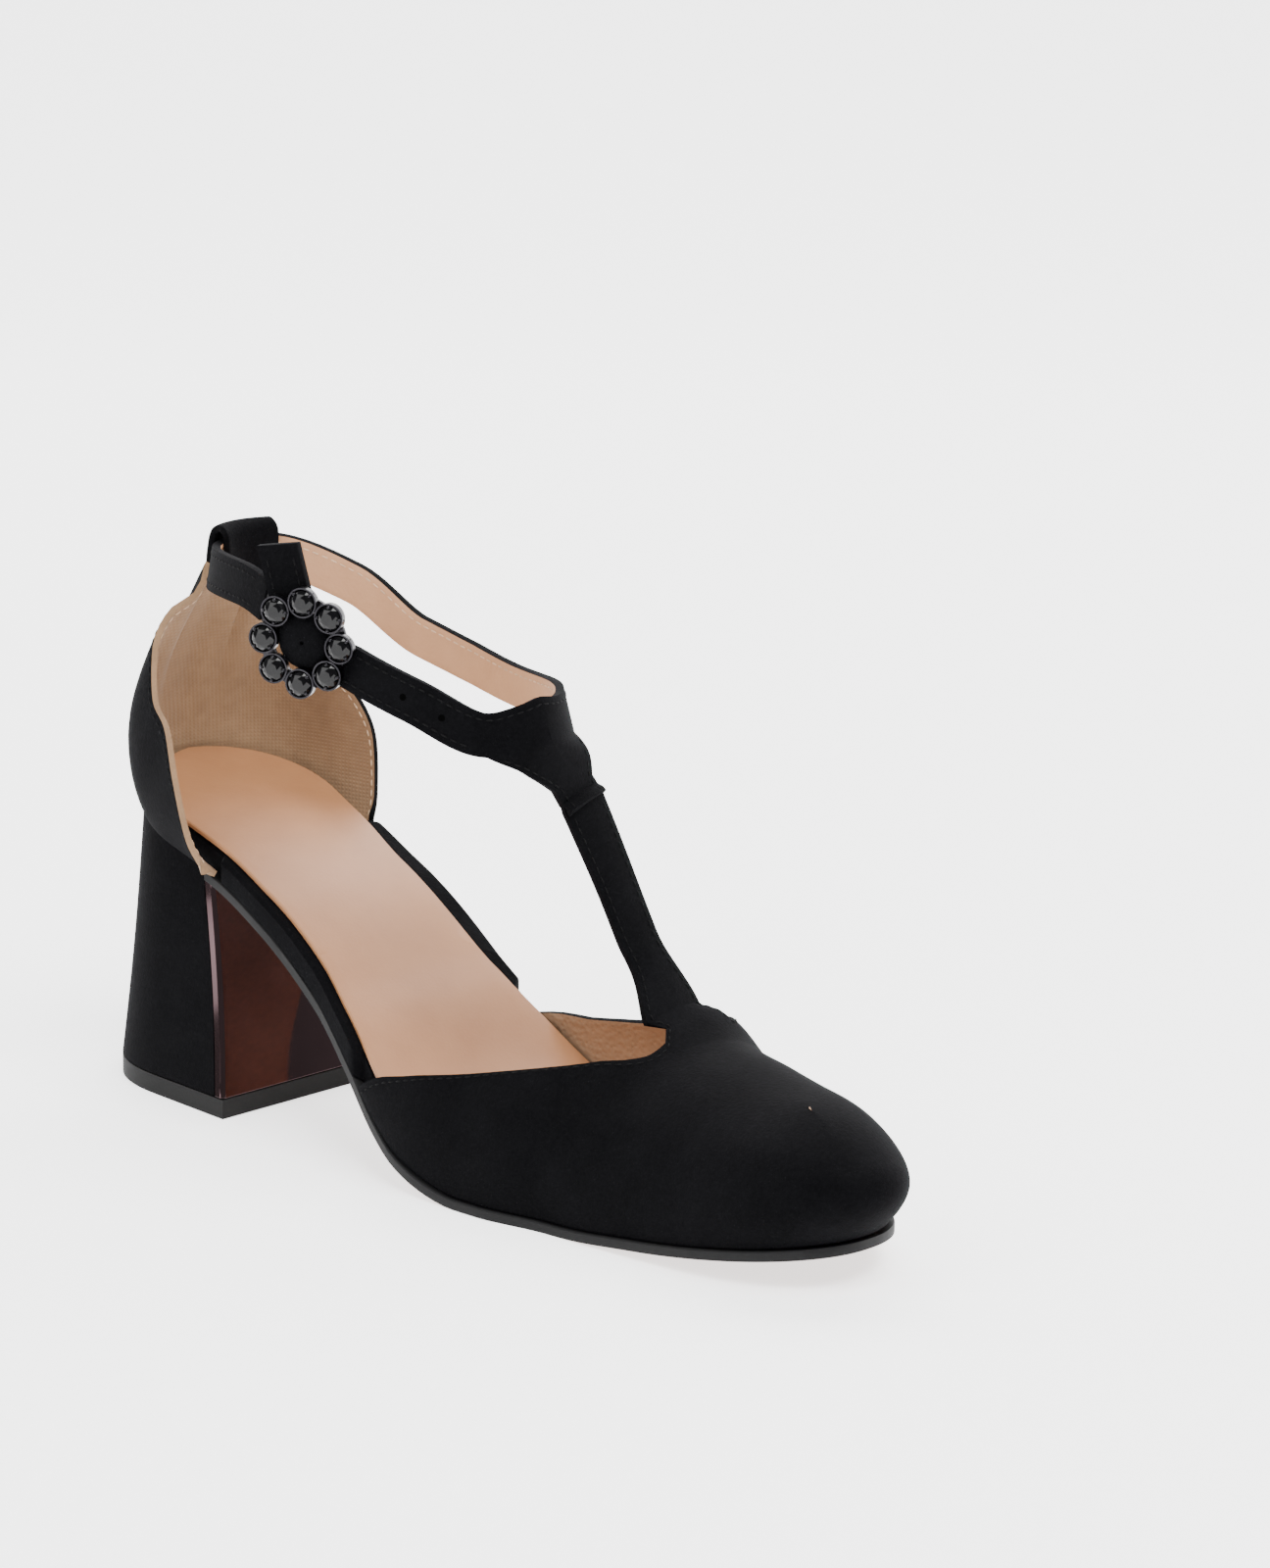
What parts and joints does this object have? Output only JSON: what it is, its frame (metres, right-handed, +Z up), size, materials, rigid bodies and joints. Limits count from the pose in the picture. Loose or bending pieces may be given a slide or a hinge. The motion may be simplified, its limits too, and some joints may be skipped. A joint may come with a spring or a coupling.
{
  "type": "t strap shoe",
  "caption": "Black suede right shoe with a T strap, open waist, flared block heel with a mirror plate and a stone set flower buckle.",
  "frame": {"origin": "centre of the heel's floor face", "axes": "+Z up, -Y towards the toe, +X to the inner side of the foot"},
  "size_m": [0.0816, 0.2406, 0.1441],
  "materials": {
    "black_suede": "napped matte",
    "beige_leather": "smooth satin",
    "black_resin": "smooth",
    "black_rubber": "matte",
    "gunmetal": "polished",
    "dark_bronze_mirror": "mirror",
    "black_glass": "faceted gloss",
    "black_elastic": "ribbed matte"
  },
  "bodies": {
    "root": {"outsole": "black_resin", "insole": "black_suede", "sock_lining": "beige_leather", "vamp": "black_suede", "quarter": "black_suede", "ankle_strap": "black_suede", "buckle_elastic": "black_elastic", "heel_block": "black_suede", "heel_plate": "dark_bronze_mirror", "top_lift": "black_rubber", "buckle_frame": "gunmetal", "stone_1": "black_glass", "stone_2": "black_glass", "stone_3": "black_glass", "stone_4": "black_glass", "stone_5": "black_glass", "stone_6": "black_glass", "stone_7": "black_glass", "stone_8": "black_glass"}
  },
  "joints": []
}
